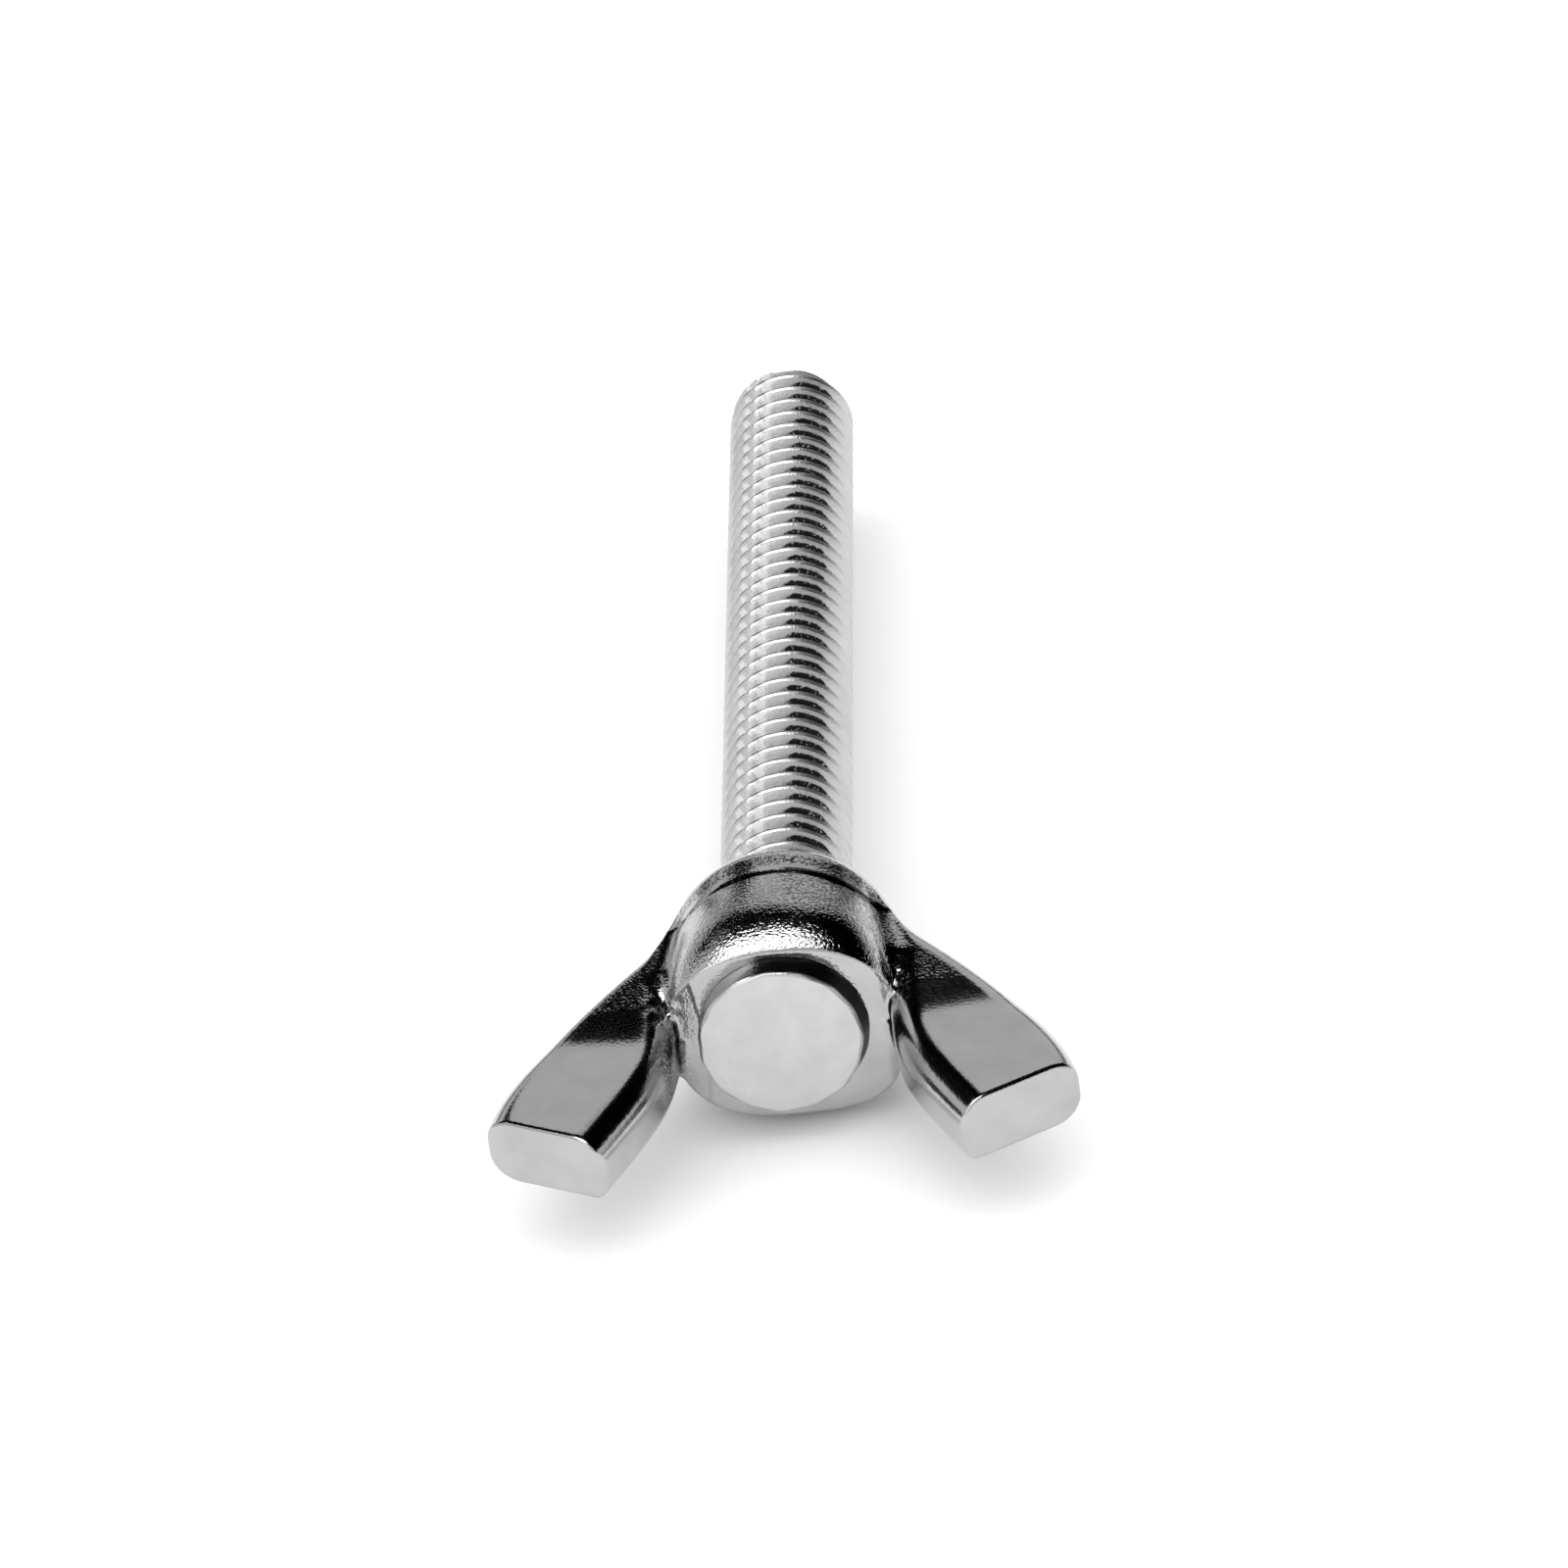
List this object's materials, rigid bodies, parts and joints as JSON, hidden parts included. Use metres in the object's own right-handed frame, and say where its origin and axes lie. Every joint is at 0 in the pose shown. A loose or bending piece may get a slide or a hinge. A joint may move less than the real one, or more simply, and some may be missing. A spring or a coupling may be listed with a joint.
{
  "type": "wing screw",
  "caption": "Forged wing head riveted on a fully threaded stud, turned by hand to clamp or release without tools.",
  "frame": {"origin": "centre of the stud's flat tip", "axes": "+Y along the thread axis, out of the tip, with the head on the -Y side; X across the two wings; +Z out of the wings' broad faces, upwards as the screw lies"},
  "size_m": [0.0274, 0.0689, 0.011],
  "materials": {
    "plated_head": "bright plated",
    "plated_stud": "bright plated"
  },
  "bodies": {
    "root": {"wing_head": "plated_head", "threaded_stud": "plated_stud"}
  },
  "joints": []
}
